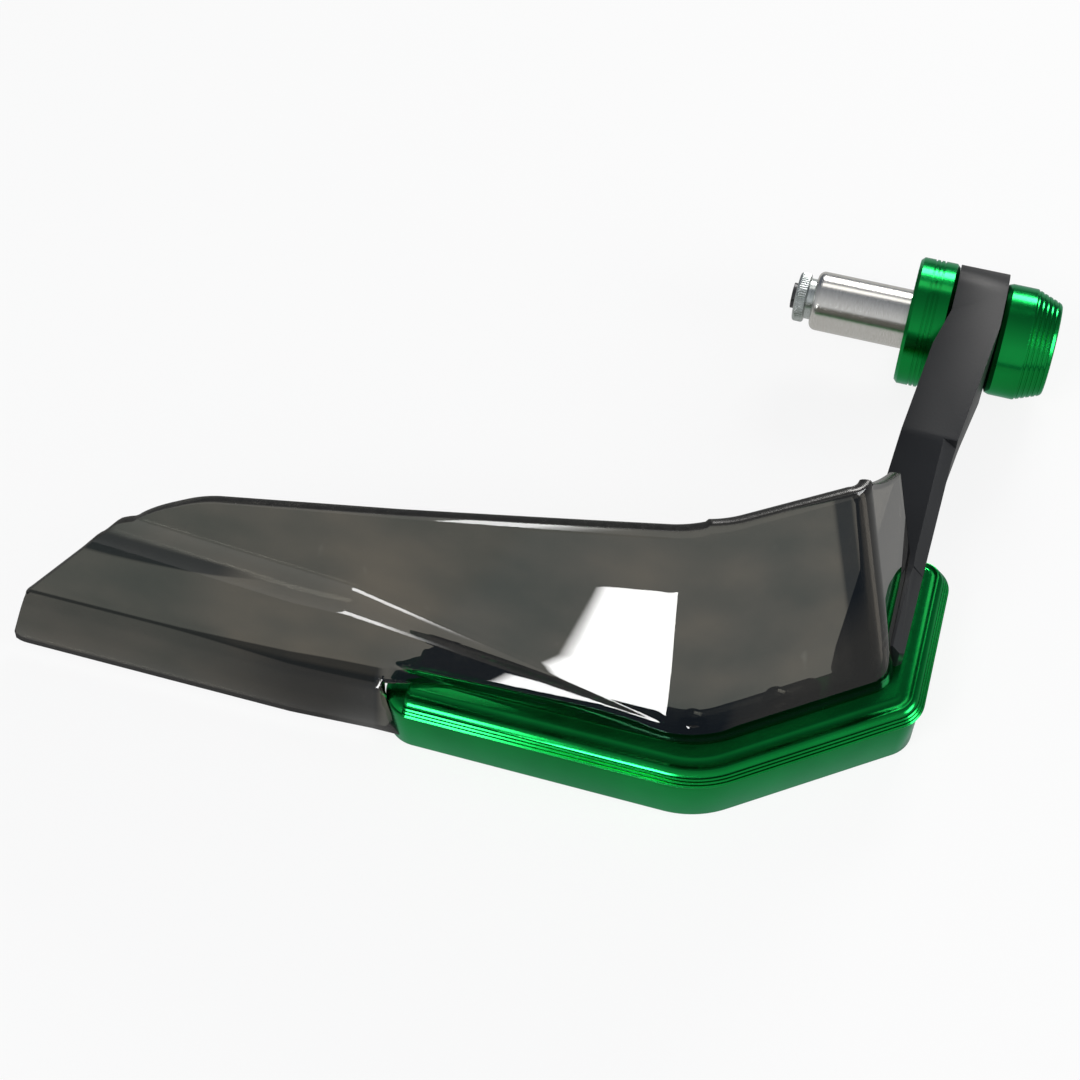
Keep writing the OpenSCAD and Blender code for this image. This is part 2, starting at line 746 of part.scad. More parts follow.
expander_nut();
expander_sleeve();
inner_collar();
end_cap();
main_bolt();
flat_washer();
spring_washer();
arm();
guard_rail();
wind_shield();
arm_screw(foot_screw_y[0]);  // arm_screw_1
arm_screw(foot_screw_y[1]);  // arm_screw_2
arm_washer(foot_screw_y[0]);  // arm_washer_1
arm_washer(foot_screw_y[1]);  // arm_washer_2
shield_screw(shield_screws[0]);  // shield_screw_1
shield_screw(shield_screws[1]);  // shield_screw_2
shield_screw(shield_screws[2]);  // shield_screw_3
shield_screw(shield_screws[3]);  // shield_screw_4
shield_washer(shield_screws[0]);  // shield_washer_1
shield_washer(shield_screws[1]);  // shield_washer_2
shield_washer(shield_screws[2]);  // shield_washer_3
shield_washer(shield_screws[3]);  // shield_washer_4
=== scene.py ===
import json
import math

import bmesh
import bpy
import numpy as np
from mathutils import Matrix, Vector


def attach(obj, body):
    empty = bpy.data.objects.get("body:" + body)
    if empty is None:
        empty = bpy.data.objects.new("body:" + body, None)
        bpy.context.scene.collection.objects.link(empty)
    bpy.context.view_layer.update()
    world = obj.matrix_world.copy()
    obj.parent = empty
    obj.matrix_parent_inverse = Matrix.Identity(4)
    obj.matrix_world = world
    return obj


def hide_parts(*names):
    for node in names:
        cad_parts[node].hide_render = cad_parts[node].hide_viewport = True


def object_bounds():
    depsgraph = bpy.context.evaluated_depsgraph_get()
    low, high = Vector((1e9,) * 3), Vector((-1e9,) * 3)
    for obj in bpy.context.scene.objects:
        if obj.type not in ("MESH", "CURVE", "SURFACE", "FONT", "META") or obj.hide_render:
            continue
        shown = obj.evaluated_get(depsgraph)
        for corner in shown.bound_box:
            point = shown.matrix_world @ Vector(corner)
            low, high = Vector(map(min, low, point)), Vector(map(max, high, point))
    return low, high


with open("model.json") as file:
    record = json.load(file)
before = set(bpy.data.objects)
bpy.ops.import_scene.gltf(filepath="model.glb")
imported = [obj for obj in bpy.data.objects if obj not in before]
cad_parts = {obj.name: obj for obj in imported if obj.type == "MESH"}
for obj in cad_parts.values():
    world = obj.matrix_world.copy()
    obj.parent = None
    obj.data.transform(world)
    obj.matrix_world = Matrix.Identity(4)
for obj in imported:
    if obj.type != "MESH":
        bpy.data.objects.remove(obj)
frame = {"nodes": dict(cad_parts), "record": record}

CAD_LOW, CAD_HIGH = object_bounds()
MM = 0.001
scene = bpy.context.scene


# Dimensions that the pieces share with their solids, in millimetres

RAIL_TOP = 0.6
REACH = 135.4
VERTEX_X = 17.0
NOSE_X = 86.3
NOSE_R = 7.0
SLANT = math.radians(36.3)
WALL_INSET = 0.9
BAND = 2.7
EDGE_D = BAND + 5.4
SHEET = 2.4
LEAN = 0.35
SIDE_LEAN = 0.28
CREASE_TURN_X = -93.5
CREASE_TURN_H = 17.6
CREASE_RISE = 0.065


# Helpers for materials

def new_material(name):
    material = bpy.data.materials.new(name)
    material.use_nodes = True
    shader = material.node_tree.nodes["Principled BSDF"]
    return material, material.node_tree, shader


def add(tree, kind, **values):
    node = tree.nodes.new(kind)
    for key, value in values.items():
        setattr(node, key, value)
    return node


def feed(tree, socket, value):
    """Links a socket to another one, or sets it to a number or a colour."""
    if isinstance(value, bpy.types.NodeSocket):
        tree.links.new(value, socket)
    elif isinstance(value, tuple):
        socket.default_value = (*value, 1)
    else:
        socket.default_value = value


def noise(tree, scale, detail=3.0, stretch=(1, 1, 1)):
    """Noise in the object's own metres, stretched along an axis if asked."""
    place = add(tree, "ShaderNodeTexCoord")
    mapping = add(tree, "ShaderNodeMapping")
    mapping.inputs["Scale"].default_value = stretch
    texture = add(tree, "ShaderNodeTexNoise")
    texture.inputs["Scale"].default_value = scale
    texture.inputs["Detail"].default_value = detail
    tree.links.new(place.outputs["Object"], mapping.inputs["Vector"])
    tree.links.new(mapping.outputs["Vector"], texture.inputs["Vector"])
    return texture.outputs["Fac"]


def mapped(tree, value, edges, results=(0.0, 1.0), kind="LINEAR"):
    """Maps a value from the two edges to the two results and holds it beyond them."""
    node = add(tree, "ShaderNodeMapRange", interpolation_type=kind)
    node.inputs["From Min"].default_value, node.inputs["From Max"].default_value = edges
    node.inputs["To Min"].default_value, node.inputs["To Max"].default_value = results
    tree.links.new(value, node.inputs["Value"])
    return node.outputs["Result"]


def between(tree, value, start, end):
    """0 at start and 1 at end, eased; works in either direction."""
    return mapped(tree, value, (start, end), kind="SMOOTHSTEP")


def zone(tree, value, edges):
    """0 at the first edge and 1 at the second, which are in millimetres."""
    return between(tree, value, edges[0] * MM, edges[1] * MM)


def spread(tree, source, low, high, target):
    """Maps a texture's 0..1 output to low..high and links it to a socket."""
    tree.links.new(mapped(tree, source, (0.0, 1.0), (low, high)), target)


def math_node(tree, operation, a, b=None):
    """A Math node whose inputs are numbers or sockets."""
    node = add(tree, "ShaderNodeMath", operation=operation)
    feed(tree, node.inputs[0], a)
    if b is not None:
        feed(tree, node.inputs[1], b)
    return node.outputs["Value"]


def times(tree, a, b):
    return math_node(tree, "MULTIPLY", a, b)


def plus(tree, a, b):
    return math_node(tree, "ADD", a, b)


def minus(tree, a, b):
    return math_node(tree, "SUBTRACT", a, b)


def colour_ramp(tree, source, *stops):
    """Colours a 0..1 source through two or more stops, each a position and a colour."""
    node = add(tree, "ShaderNodeValToRGB")
    elements = node.color_ramp.elements
    for index, (position, colour) in enumerate((stops[0], stops[-1])):
        elements[index].position = position
        elements[index].color = (*colour, 1)
    for position, colour in stops[1:-1]:
        elements.new(position).color = (*colour, 1)
    tree.links.new(source, node.inputs["Fac"])
    return node.outputs["Color"]


def colours(tree, source, dark, light, target):
    """Links a socket to two colours that follow a texture."""
    tree.links.new(colour_ramp(tree, source, (0.3, dark), (0.7, light)), target)


def mixed(tree, factor, a, b):
    """Colour between a and b, each a colour or a socket."""
    node = add(tree, "ShaderNodeMix", data_type="RGBA")
    tree.links.new(factor, node.inputs["Factor"])
    feed(tree, node.inputs[6], a)
    feed(tree, node.inputs[7], b)
    return node.outputs[2]


def bump(tree, source, shader, strength, distance):
    node = add(tree, "ShaderNodeBump")
    node.inputs["Strength"].default_value = strength
    node.inputs["Distance"].default_value = distance
    tree.links.new(source, node.inputs["Height"])
    tree.links.new(node.outputs["Normal"], shader.inputs["Normal"])


def emission(tree, colour, strength):
    node = add(tree, "ShaderNodeEmission")
    feed(tree, node.inputs["Color"], colour)
    feed(tree, node.inputs["Strength"], strength)
    return node.outputs["Emission"]


def mix_shader(tree, factor, first, second):
    node = add(tree, "ShaderNodeMixShader")
    tree.links.new(factor, node.inputs["Fac"])
    tree.links.new(first, node.inputs[1])
    tree.links.new(second, node.inputs[2])
    return node.outputs["Shader"]


# Metals and the arm's coat

FINE_GRAIN = 0.0001


def green_anodised(name):
    material, tree, shader = new_material(name)
    shader.inputs["Metallic"].default_value = 1.0
    shader.inputs["Specular Tint"].default_value = (0.62, 0.92, 0.86, 1)
    shader.inputs["Coat Weight"].default_value = 0.11
    shader.inputs["Coat Roughness"].default_value = 0.06
    shader.inputs["Anisotropic"].default_value = 0.3
    colours(tree, noise(tree, 60, 2), (0.003, 0.26, 0.044), (0.005, 0.34, 0.060),
            shader.inputs["Base Color"])
    grain = noise(tree, 900, 4)
    spread(tree, grain, 0.16, 0.26, shader.inputs["Roughness"])
    bump(tree, grain, shader, 0.04, FINE_GRAIN)
    return material


def black_coat(name):
    material, tree, shader = new_material(name)
    shader.inputs["Specular IOR Level"].default_value = 0.24
    colours(tree, noise(tree, 45, 3), (0.009, 0.010, 0.012), (0.014, 0.015, 0.017),
            shader.inputs["Base Color"])
    grain = noise(tree, 1600, 5)
    spread(tree, grain, 0.36, 0.50, shader.inputs["Roughness"])
    bump(tree, grain, shader, 0.12, FINE_GRAIN)
    return material


def bright_metal(name, low, high, rough, turned):
    """Metal with fine lines, which turned stretches along an axis."""
    material, tree, shader = new_material(name)
    shader.inputs["Metallic"].default_value = 1.0
    lines = noise(tree, 700, 3, turned)
    colours(tree, lines, low, high, shader.inputs["Base Color"])
    spread(tree, lines, rough * 0.8, rough * 1.3, shader.inputs["Roughness"])
    bump(tree, lines, shader, 0.05, FINE_GRAIN)
    return material


# Smoke plastic, whose darker zones are painted shade, with their edges named in millimetres

PAST_NOSE = (-84.0, -86.5)
FOLD_LINE_Z = 2.7
FOLD_LINE_EDGES = (0.6, 0.2)
FOLD_LINE_RUN = (-135.0, -90.0)
FOLD_LINE_WIDER = 1.4
LIP_EDGES = (3.0, 1.8)
LIP_DARKER = (-138.0, -100.0)
HEM_EDGES = (-10.4, -11.4)
WEDGE_TOP = 1.2
WEDGE_TAPER = (-104.0, -152.0)
WEDGE_DEPTH = 4.2
WEDGE_LEAST = 0.01
WEDGE_START = (-108.0, -122.0)
KITE_EDGES = (11.8, 13.2)
STRIP_NEAR = (8.6, 9.6)
STRIP_FAR = (12.8, 11.8)
FOOT_EDGES = (6.2, 3.6)
FOOT_START = (-86.0, -80.0)


def clear_shader(shader, roughness=0.0):
    shader.inputs["Transmission Weight"].default_value = 1.0
    shader.inputs["IOR"].default_value = 1.5
    shader.inputs["Roughness"].default_value = roughness


def smoke_tint(tree):
    """Brownish and greenish clouds of the smoke tint."""
    cloud = noise(tree, 26, 3)
    mottle = noise(tree, 95, 5, (0.5, 1, 1))
    blend = plus(tree, times(tree, cloud, 0.55), times(tree, mottle, 0.45))
    return colour_ramp(tree, blend, (0.36, (0.068, 0.073, 0.063)), (0.5, (0.098, 0.095, 0.081)),
                       (0.66, (0.134, 0.121, 0.098)))


def smoke_inside(name):
    """Inner face of the sheet, with the plain tint."""
    material, tree, shader = new_material(name)
    clear_shader(shader)
    tree.links.new(smoke_tint(tree), shader.inputs["Base Color"])
    return material


def smoke_shaded_flange(name):
    """The flange under the sheet, seen through two thicknesses; its bluish near-black colour is
    painted shade.
    """
    material, tree, shader = new_material(name)
    clear_shader(shader, 0.08)
    colours(tree, noise(tree, 60, 3), (0.0040, 0.0060, 0.0085), (0.0075, 0.0100, 0.0130),
            shader.inputs["Base Color"])
    return material


def lip_painted_shade(tree, x, z):
    """Painted shade inboard of the nose: the lip darkened, its outboard part darker still, a dark
    band along its lower edge and a dark line along the fold.
    """
    inboard = zone(tree, x, PAST_NOSE)
    # Painted shade: the lip is darkened, and its outboard part darker still.
    lip = times(tree, zone(tree, z, LIP_EDGES), inboard)
    outboard = times(tree, lip, zone(tree, x, LIP_DARKER))
    # Painted shade: a dark band along the lip's lower edge.
    hem_shade = times(tree, zone(tree, z, HEM_EDGES), inboard)
    # Painted shade: a dark line along the fold.
    off_line = math_node(tree, "ABSOLUTE", minus(tree, z, FOLD_LINE_Z * MM))
    wider = times(tree, zone(tree, x, FOLD_LINE_RUN), FOLD_LINE_WIDER * MM)
    fold = times(tree, zone(tree, minus(tree, off_line, wider), FOLD_LINE_EDGES), inboard)
    # Each entry is painted shade: a mask, its share and its dark colour.
    return [
        (lip, 0.4, (0.020, 0.016, 0.015)),
        (outboard, 0.93, (0.0040, 0.0048, 0.0060)),
        (hem_shade, 0.93, (0.006, 0.005, 0.0045)),
        (fold, 0.93, (0.0010, 0.0014, 0.0016)),
    ]


def crease_painted_shade(tree, x, z):
    """Painted shade: a dark wedge under the upper crease, which grows towards the tip."""
    crease_z = (RAIL_TOP + CREASE_TURN_H + CREASE_TURN_X * CREASE_RISE) * MM
    above_crease = minus(tree, plus(tree, times(tree, x, CREASE_RISE), z), crease_z)
    depth = times(tree, zone(tree, x, WEDGE_TAPER), -WEDGE_DEPTH * MM)
    share = math_node(tree, "DIVIDE", plus(tree, above_crease, WEDGE_TOP * MM),
                      minus(tree, depth, WEDGE_LEAST * MM))
    wedge = times(tree, between(tree, share, -0.12, 0.12), between(tree, share, 1.1, 0.85))
    # The wedge is painted shade in a bluish near-black.
    return [(times(tree, wedge, zone(tree, x, WEDGE_START)), 0.93, (0.0008, 0.0022, 0.0034))]


def wrap_painted_shade(tree, x, z):
    """Painted shade: the side beyond the wrap darkened, a dark band before it, and a dark foot along
    the front.
    """
    side = plus(tree, x, times(tree, z, SIDE_LEAN))
    # Painted shade: the side panel beyond the wrap is darkened.
    side_shade = zone(tree, side, KITE_EDGES)
    # Painted shade: a dark bluish band just before the wrap.
    shade_band = times(tree, zone(tree, side, STRIP_NEAR), zone(tree, side, STRIP_FAR))
    # Painted shade: a dark bluish band along the foot of the front.
    foot = times(tree, zone(tree, z, FOOT_EDGES), zone(tree, x, FOOT_START))
    return [
        (side_shade, 0.6, (0.030, 0.025, 0.021)),
        (shade_band, 0.92, (0.0010, 0.0024, 0.0038)),
        (foot, 0.9, (0.0010, 0.0020, 0.0034)),
    ]


def smoke_plastic(name):
    """Outer face of the sheet: the clouded tint under zones of painted shade, and a few pale flecks.
    """
    material, tree, shader = new_material(name)
    clear_shader(shader)
    place = add(tree, "ShaderNodeTexCoord")
    axes = add(tree, "ShaderNodeSeparateXYZ")
    tree.links.new(place.outputs["Object"], axes.inputs["Vector"])
    x, z = axes.outputs["X"], axes.outputs["Z"]
    flecks = between(tree, noise(tree, 260, 2, (1, 1, 0.4)), 0.70, 0.80)
    zones = lip_painted_shade(tree, x, z) + crease_painted_shade(tree, x, z) + wrap_painted_shade(tree, x, z)
    zones.append((flecks, 0.30, (0.30, 0.30, 0.27)))
    colour = smoke_tint(tree)
    # Every zone but the pale flecks is painted shade over the tint.
    for mask, share, tint in zones:
        colour = mixed(tree, times(tree, mask, share), colour, tint)
    tree.links.new(colour, shader.inputs["Base Color"])
    bump(tree, noise(tree, 14, 1), shader, 0.02, 0.002)
    return material


def smoke_edge(name):
    """The sheet's trimmed edge, which is slightly frosted."""
    material, tree, shader = new_material(name)
    shader.inputs["Transmission Weight"].default_value = 0.25
    grain = noise(tree, 700, 3)
    colours(tree, grain, (0.026, 0.025, 0.022), (0.040, 0.038, 0.034), shader.inputs["Base Color"])
    spread(tree, grain, 0.18, 0.32, shader.inputs["Roughness"])
    return material


MATERIALS = {
    "green_anodised": green_anodised("green_anodised_look"),
    "black_arm": black_coat("black_coat_look"),
    "polished_sleeve": bright_metal("polished_sleeve_look", (0.72, 0.70, 0.66), (0.86, 0.85, 0.82),
                                    0.2, (14, 1, 1)),
    "zinc_steel": bright_metal("zinc_look", (0.52, 0.56, 0.55), (0.68, 0.72, 0.71), 0.28, (3, 1, 1)),
    "black_steel": bright_metal("black_oxide_look", (0.085, 0.086, 0.090), (0.12, 0.12, 0.125),
                                0.35, (1, 1, 1)),
}
SMOKE = smoke_plastic("smoke_look")
EDGE = smoke_edge("smoke_edge_look")
INSIDE = smoke_inside("smoke_inside_look")
SHADED_FLANGE_SMOKE = smoke_shaded_flange("smoke_shaded_flange_look")

SLOT_OF = {}
for part in frame["record"]["subparts"]:
    SLOT_OF[part["node"]] = part["material_slot"]
for node_name, node_object in frame["nodes"].items():
    if SLOT_OF[node_name] in MATERIALS:
        node_object.data.materials.clear()
        node_object.data.materials.append(MATERIALS[SLOT_OF[node_name]])


# Plan geometry of the rail and the sheet, in millimetres

ALONG = np.array([math.cos(SLANT), math.sin(SLANT)])
INWARD = np.array([-ALONG[1], ALONG[0]])
BEND = np.array([-VERTEX_X, -REACH])
RIGHT = np.array([1.0, 0.0])
BACK = np.array([0.0, 1.0])


def unit(v):
    return v / np.linalg.norm(v)


def smooth(t):
    c = min(max(t, 0.0), 1.0)
    return c * c * (3 - 2 * c)


def ramp(x, width):
    """A straight ramp from 0 at 0 whose start is rounded over width."""
    if x <= -width:
        return 0.0
    if x >= width:
        return x
    return (x + width) ** 2 / (4 * width)


def meet(p, u, q, v):
    """Where the line through p along u meets the line through q along v."""
    cross = u[0] * v[1] - u[1] * v[0]
    w = q - p
    return p + u * ((w[0] * v[1] - w[1] * v[0]) / cross)


def plan_bend(d):
    """Where the front and the slanted side meet at inset d from the rail's outer line."""
    return meet(BEND + np.array([0, d]), RIGHT, BEND + INWARD * d, ALONG)


def along_plan(d, end_x):
    """Where the line at inset d from the rail's slanted side meets the plane x = end_x."""
    return meet(BEND + INWARD * d, ALONG, np.array([end_x, 0.0]), BACK)


def arc_points(before, corner, after, radius, steps):
    """Points of the rounding of a corner between its two neighbours."""
    u, v = unit(before - corner), unit(after - corner)
    half = math.acos(max(-1, min(1, float(u @ v)))) / 2
    middle = corner + unit(u + v) * (radius / math.sin(half))
    start = corner + u * (radius / math.tan(half)) - middle
    turn = 1 if u[0] * v[1] - u[1] * v[0] < 0 else -1
    points = []
    for k in range(steps + 1):
        t = turn * (math.pi - 2 * half) * k / steps
        points.append(middle + np.array([
            start[0] * math.cos(t) - start[1] * math.sin(t),
            start[0] * math.sin(t) + start[1] * math.cos(t),
        ]))
    return points


def placed(point, h):
    """A plan point at height h over the rail's top plane, in metres."""
    return Vector((point[0] * MM, point[1] * MM, (RAIL_TOP + h) * MM))


def circle(centre, radius, h, count):
    """A closed ring of points at height h, in metres."""
    return [
        placed((centre[0] + radius * math.cos(t), centre[1] + radius * math.sin(t)), h)
        for t in np.linspace(0, 2 * math.pi, count + 1)[:-1]
    ]


def loft(mesh, loops):
    """Joins closed loops of equal count in turn and caps both ends."""
    rings = [[mesh.verts.new(p) for p in loop] for loop in loops]
    for low_ring, high_ring in zip(rings, rings[1:]):
        count = len(low_ring)
        for k in range(count):
            q = (k + 1) % count
            mesh.faces.new((low_ring[k], low_ring[q], high_ring[q], high_ring[k]))
    mesh.faces.new(list(reversed(rings[0])))
    mesh.faces.new(rings[-1])


def finished(mesh, name, materials, sharp=None):
    """Turns a bmesh into an object with smooth shading, sharp above an angle if given."""
    bmesh.ops.recalc_face_normals(mesh, faces=mesh.faces)
    data = bpy.data.meshes.new(name)
    mesh.to_mesh(data)
    mesh.free()
    data.shade_smooth()
    if sharp:
        data.set_sharp_from_angle(angle=math.radians(sharp))
    obj = bpy.data.objects.new(name, data)
    scene.collection.objects.link(obj)
    for material in materials:
        data.materials.append(material)
    return obj


def baked(obj):
    """Replaces an object's mesh by the result of its modifiers."""
    bpy.context.view_layer.update()
    graph = bpy.context.evaluated_depsgraph_get()
    result = bpy.data.meshes.new_from_object(obj.evaluated_get(graph))
    obj.modifiers.clear()
    obj.data = result
    result.shade_smooth()


# Sheet of the shield: the same dimensions as its solid, in millimetres

SIDE_X = 14.8
REAR_Y = -75.0
REAR_SHIFT = 5.5
REAR_H = 29.0
SHIELD_H = 49.5
WRAP_DROP = 2
SIDE_DROP = 3
TIP_H = 23.0
END_X = -NOSE_X - 77
TIP_RUN = 41.0
TIP_START = 1
TIP_FOOT = 0.6
TIP_SLOPE = 1.12
TIP_DROP = 6.9
TIP_DROP_CURVE = 4.8
TAIL_TOP = 2.4
TAIL_RUN = 12
TAIL_OUT = 0.85
FILL = 1.15
FILL_START = 15
FILL_RISE = 4.5
FILL_END = 33
FILL_FALL = 12
LIP_D = 13.4
LIP_X = -NOSE_X + 0.1
LIP_SLIT = 0.3
LIP_FLARE = 3.4
LIP_TAIL = 5.2
LIP_CORNER = 2.4
FOLD_H = 2.2
FOLD_SOFT = 1.0
FOOT_T = 7.0
FOOT_GAP = 0.3
BEND_R = 24.0
WRAP_R = 6.0
STEP = 4.4
STEP_FOOT_H = 5.5
STEP_NOSE_RUN = 16
CREASE_FALL = 0.2
CREASE_END_X = -28.0
CREASE_RUN = 77.0
CREASE_BAND = 0.45
CREASE_LEAST = 0.3
CREASE_SOFT = 0.9
CREASE_SOFT_SHARE = 0.45
NOSE_CLEARANCE = 0.03
RIM = 0.35

# How finely the sheet is divided: its columns along the plan, and its rows up the wall

TIP_N, LIP_N, FRONT_N, BEND_N, MID_N, WRAP_N, SIDE_N = 60, 40, 70, 24, 24, 30, 24
LIP_END = TIP_N + LIP_N
BEND_START = LIP_END + 1 + FRONT_N
BEND_MID = BEND_START + BEND_N // 2
WRAP_END = BEND_START + BEND_N + MID_N + WRAP_N
SIDE_FIRST = WRAP_END + 1
LAST = SIDE_FIRST + SIDE_N
LIP_ROWS = (0, 0.45, 0.62, 0.78, 0.9)
FOLD_ROWS = 8
WALL_ROWS = (14, 10, 5, 10, 20)
RIM_TURNS = 6
ROWS_IN = 3
COLUMNS_IN = 2


def shield_line(inset, side_inset):
    """Plan line of the sheet's outer face at its insets on the front and on the side."""
    bend = plan_bend(EDGE_D + inset)
    corner = along_plan(EDGE_D + inset, SIDE_X - side_inset)
    end = np.array([END_X, bend[1]])
    back_shift = REAR_SHIFT * min(side_inset / SIDE_LEAN / REAR_H, 1)
    rear = np.array([SIDE_X - side_inset, REAR_Y + back_shift])
    bend_arc = arc_points(end, bend, corner, BEND_R, BEND_N)
    wrap_arc = arc_points(bend, corner, rear, WRAP_R, WRAP_N)
    tip = end + np.array([TIP_RUN, 0])
    lip = np.array([LIP_X, bend[1]])
    past = np.array([LIP_X + LIP_SLIT, bend[1]])
    side = wrap_arc[-1] + np.array([0, FOOT_GAP])
    line = [end + (tip - end) * k / TIP_N for k in range(TIP_N)]
    line += [tip + (lip - tip) * k / LIP_N for k in range(LIP_N + 1)]
    line += [past + (bend_arc[0] - past) * k / FRONT_N for k in range(FRONT_N)]
    line += bend_arc
    line += [bend_arc[-1] + (wrap_arc[0] - bend_arc[-1]) * k / MID_N for k in range(1, MID_N)]
    line += wrap_arc
    line += [side + (rear - side) * k / SIDE_N for k in range(SIDE_N + 1)]
    return np.array(line)


BASE = shield_line(0, 0)


def has_lip(x):
    return x <= LIP_X + LIP_SLIT / 2


def top_h(i, x):
    """Height of the upper edge over the rail, at column i."""
    if i >= SIDE_FIRST:
        return SHIELD_H - SIDE_DROP + (REAR_H - SHIELD_H + SIDE_DROP) * (i - SIDE_FIRST) / SIDE_N
    if i > BEND_MID:
        return SHIELD_H - WRAP_DROP * (i - BEND_MID) / (WRAP_END - BEND_MID)
    run = x - END_X
    rise = TIP_H + (SHIELD_H - TIP_H) * run / (-VERTEX_X - END_X)
    short = max(1 - run / TIP_RUN, 0)
    cut = FOLD_H + TIP_FOOT + TIP_SLOPE * (run - TIP_START)
    fill = FILL * smooth((run - FILL_START) / FILL_RISE) * smooth((FILL_END - run) / FILL_FALL)
    return min(cut, rise - TIP_DROP * min(TIP_DROP_CURVE * short * short, 1)) + fill


def bottom_h(i, x):
    """Height of the lower edge over the rail, at column i."""
    if i >= SIDE_FIRST:
        return FOOT_T + FOOT_GAP + ((i - SIDE_FIRST) / SIDE_N) ** 3
    if not has_lip(x):
        return 0.0
    near = max(LIP_CORNER - (x - END_X), 0)
    return -LIP_D + LIP_CORNER - math.sqrt(LIP_CORNER ** 2 - near ** 2)


def step_of(x):
    """Forward step of the raised panel, which fades towards the bend."""
    return STEP * min(max((CREASE_END_X - x) / CREASE_RUN, 0), 1)


def crease_high(x):
    slope = CREASE_RISE if x < CREASE_TURN_X else CREASE_FALL
    return CREASE_TURN_H - (x - CREASE_TURN_X) * slope


def crease_low(x):
    return crease_high(x) - CREASE_LEAST - step_of(x) * CREASE_BAND


def soft_of(x):
    """How far the two creases are rounded."""
    return min(CREASE_SOFT, (crease_high(x) - crease_low(x)) * CREASE_SOFT_SHARE)


def step_out(h, x):
    """How far the sheet stands forward at height h, below the creases and above its foot."""
    foot = max(smooth(h / STEP_FOOT_H), smooth((LIP_X + STEP_NOSE_RUN - x) / STEP_NOSE_RUN))
    low, high = crease_low(x), crease_high(x)
    soft = soft_of(x)
    above = (ramp(h - low, soft) - ramp(h - high, soft)) / (high - low)
    return step_of(x) * foot * (1 - min(max(above, 0), 1))


def row_heights(i, x):
    """Heights of the rows, close together at the fold and at the two creases."""
    low, top = bottom_h(i, x) + RIM, top_h(i, x) - RIM
    knee = min(max(low + 0.6, FOLD_H - RIM), top - 0.5)
    room = top - knee
    fold = min(1.0, room * 0.1)
    c1 = min(max(crease_low(x), knee + 2), knee + room * 0.8)
    c2 = min(max(crease_high(x), c1 + 0.8), knee + room * 0.9)
    gap = min(soft_of(x), (c2 - c1) * 0.48, room * 0.08)
    marks = [knee + fold, c1 - gap, c1 + gap, c2 - gap, c2 + gap, top]
    start = knee - min(1.0, (knee - low) * 0.5)
    rows = [low + (start - low) * t for t in LIP_ROWS]
    rows += [start + (marks[0] - start) * k / FOLD_ROWS for k in range(FOLD_ROWS)]
    for count, mark, after in zip(WALL_ROWS, marks, marks[1:]):
        rows += [mark + (after - mark) * k / count for k in range(count)]
    return rows + [top]


def nose_gap(y):
    """X just outside the rail's rounded nose at the plan depth y."""
    radius = NOSE_R + NOSE_CLEARANCE
    centre = (-NOSE_X + WALL_INSET + NOSE_R, -REACH + WALL_INSET + NOSE_R)
    reach_y = min(abs(y - centre[1]), radius)
    return centre[0] - math.sqrt(radius ** 2 - reach_y ** 2)


def shield_grids():
    """Points of the outer and the inner face, in columns from the tip to the side's rear."""
    lines = {}

    def line_at(h):
        if h not in lines:
            lines[h] = shield_line(LEAN * h, SIDE_LEAN * h)
        return lines[h]

    def blended(h):
        """Plan line at height h, from two neighbours on a 0.5 mm ladder."""
        k = math.floor(h * 2)
        share = h * 2 - k
        return line_at(k / 2) * (1 - share) + line_at((k + 1) / 2) * share

    outer, inner = [], []
    for i in range(LAST + 1):
        x = BASE[i][0]
        tail_share = max(0, 1 - (x - END_X) / TAIL_RUN)
        column_out, column_in = [], []
        for h in row_heights(i, x):
            rise = max(h, 0)
            line, higher = blended(rise), blended(rise + 1)
            across = line[min(i + 1, LAST)] - line[max(i - 1, 0)]
            up = higher[i] - line[i] if h >= 0 else np.zeros(2)
            normal = unit(np.cross([up[0], up[1], 1.0], [across[0], across[1], 0.0]))
            flare = LIP_FLARE * ramp(FOLD_H - h, FOLD_SOFT) / (FOLD_H + LIP_D) if has_lip(x) else 0
            shift = step_out(h, x) + flare if i < BEND_MID else 0
            below = max(TAIL_TOP - h, 0)
            tail = (LIP_TAIL * below / (LIP_D + TAIL_TOP) + TAIL_OUT) * tail_share
            point = np.array([line[i][0] - tail, line[i][1] - shift, RAIL_TOP + h])
            if i == 0:
                point[0] += RIM
            if i == LAST:
                point[1] -= RIM
            back = point + normal * SHEET
            if i == LIP_END and h < 0:
                point[0] = nose_gap(point[1])
                back[0] = nose_gap(back[1])
            column_out.append(point)
            column_in.append(back)
        outer.append(column_out)
        inner.append(column_in)
    return np.array(outer), np.array(inner)


def rim_outward(outer, i, j):
    """Vector of the rim's length that points out of the sheet at a point of its edge."""
    last_i, last_j = outer.shape[0] - 1, outer.shape[1] - 1
    away = np.zeros(3)
    if j in (0, last_j):
        away += unit(outer[i, j] - outer[i, ROWS_IN if j == 0 else last_j - ROWS_IN])
    if i in (0, last_i):
        away += unit(outer[i, j] - outer[COLUMNS_IN if i == 0 else last_i - COLUMNS_IN, j])
    return unit(away) * RIM


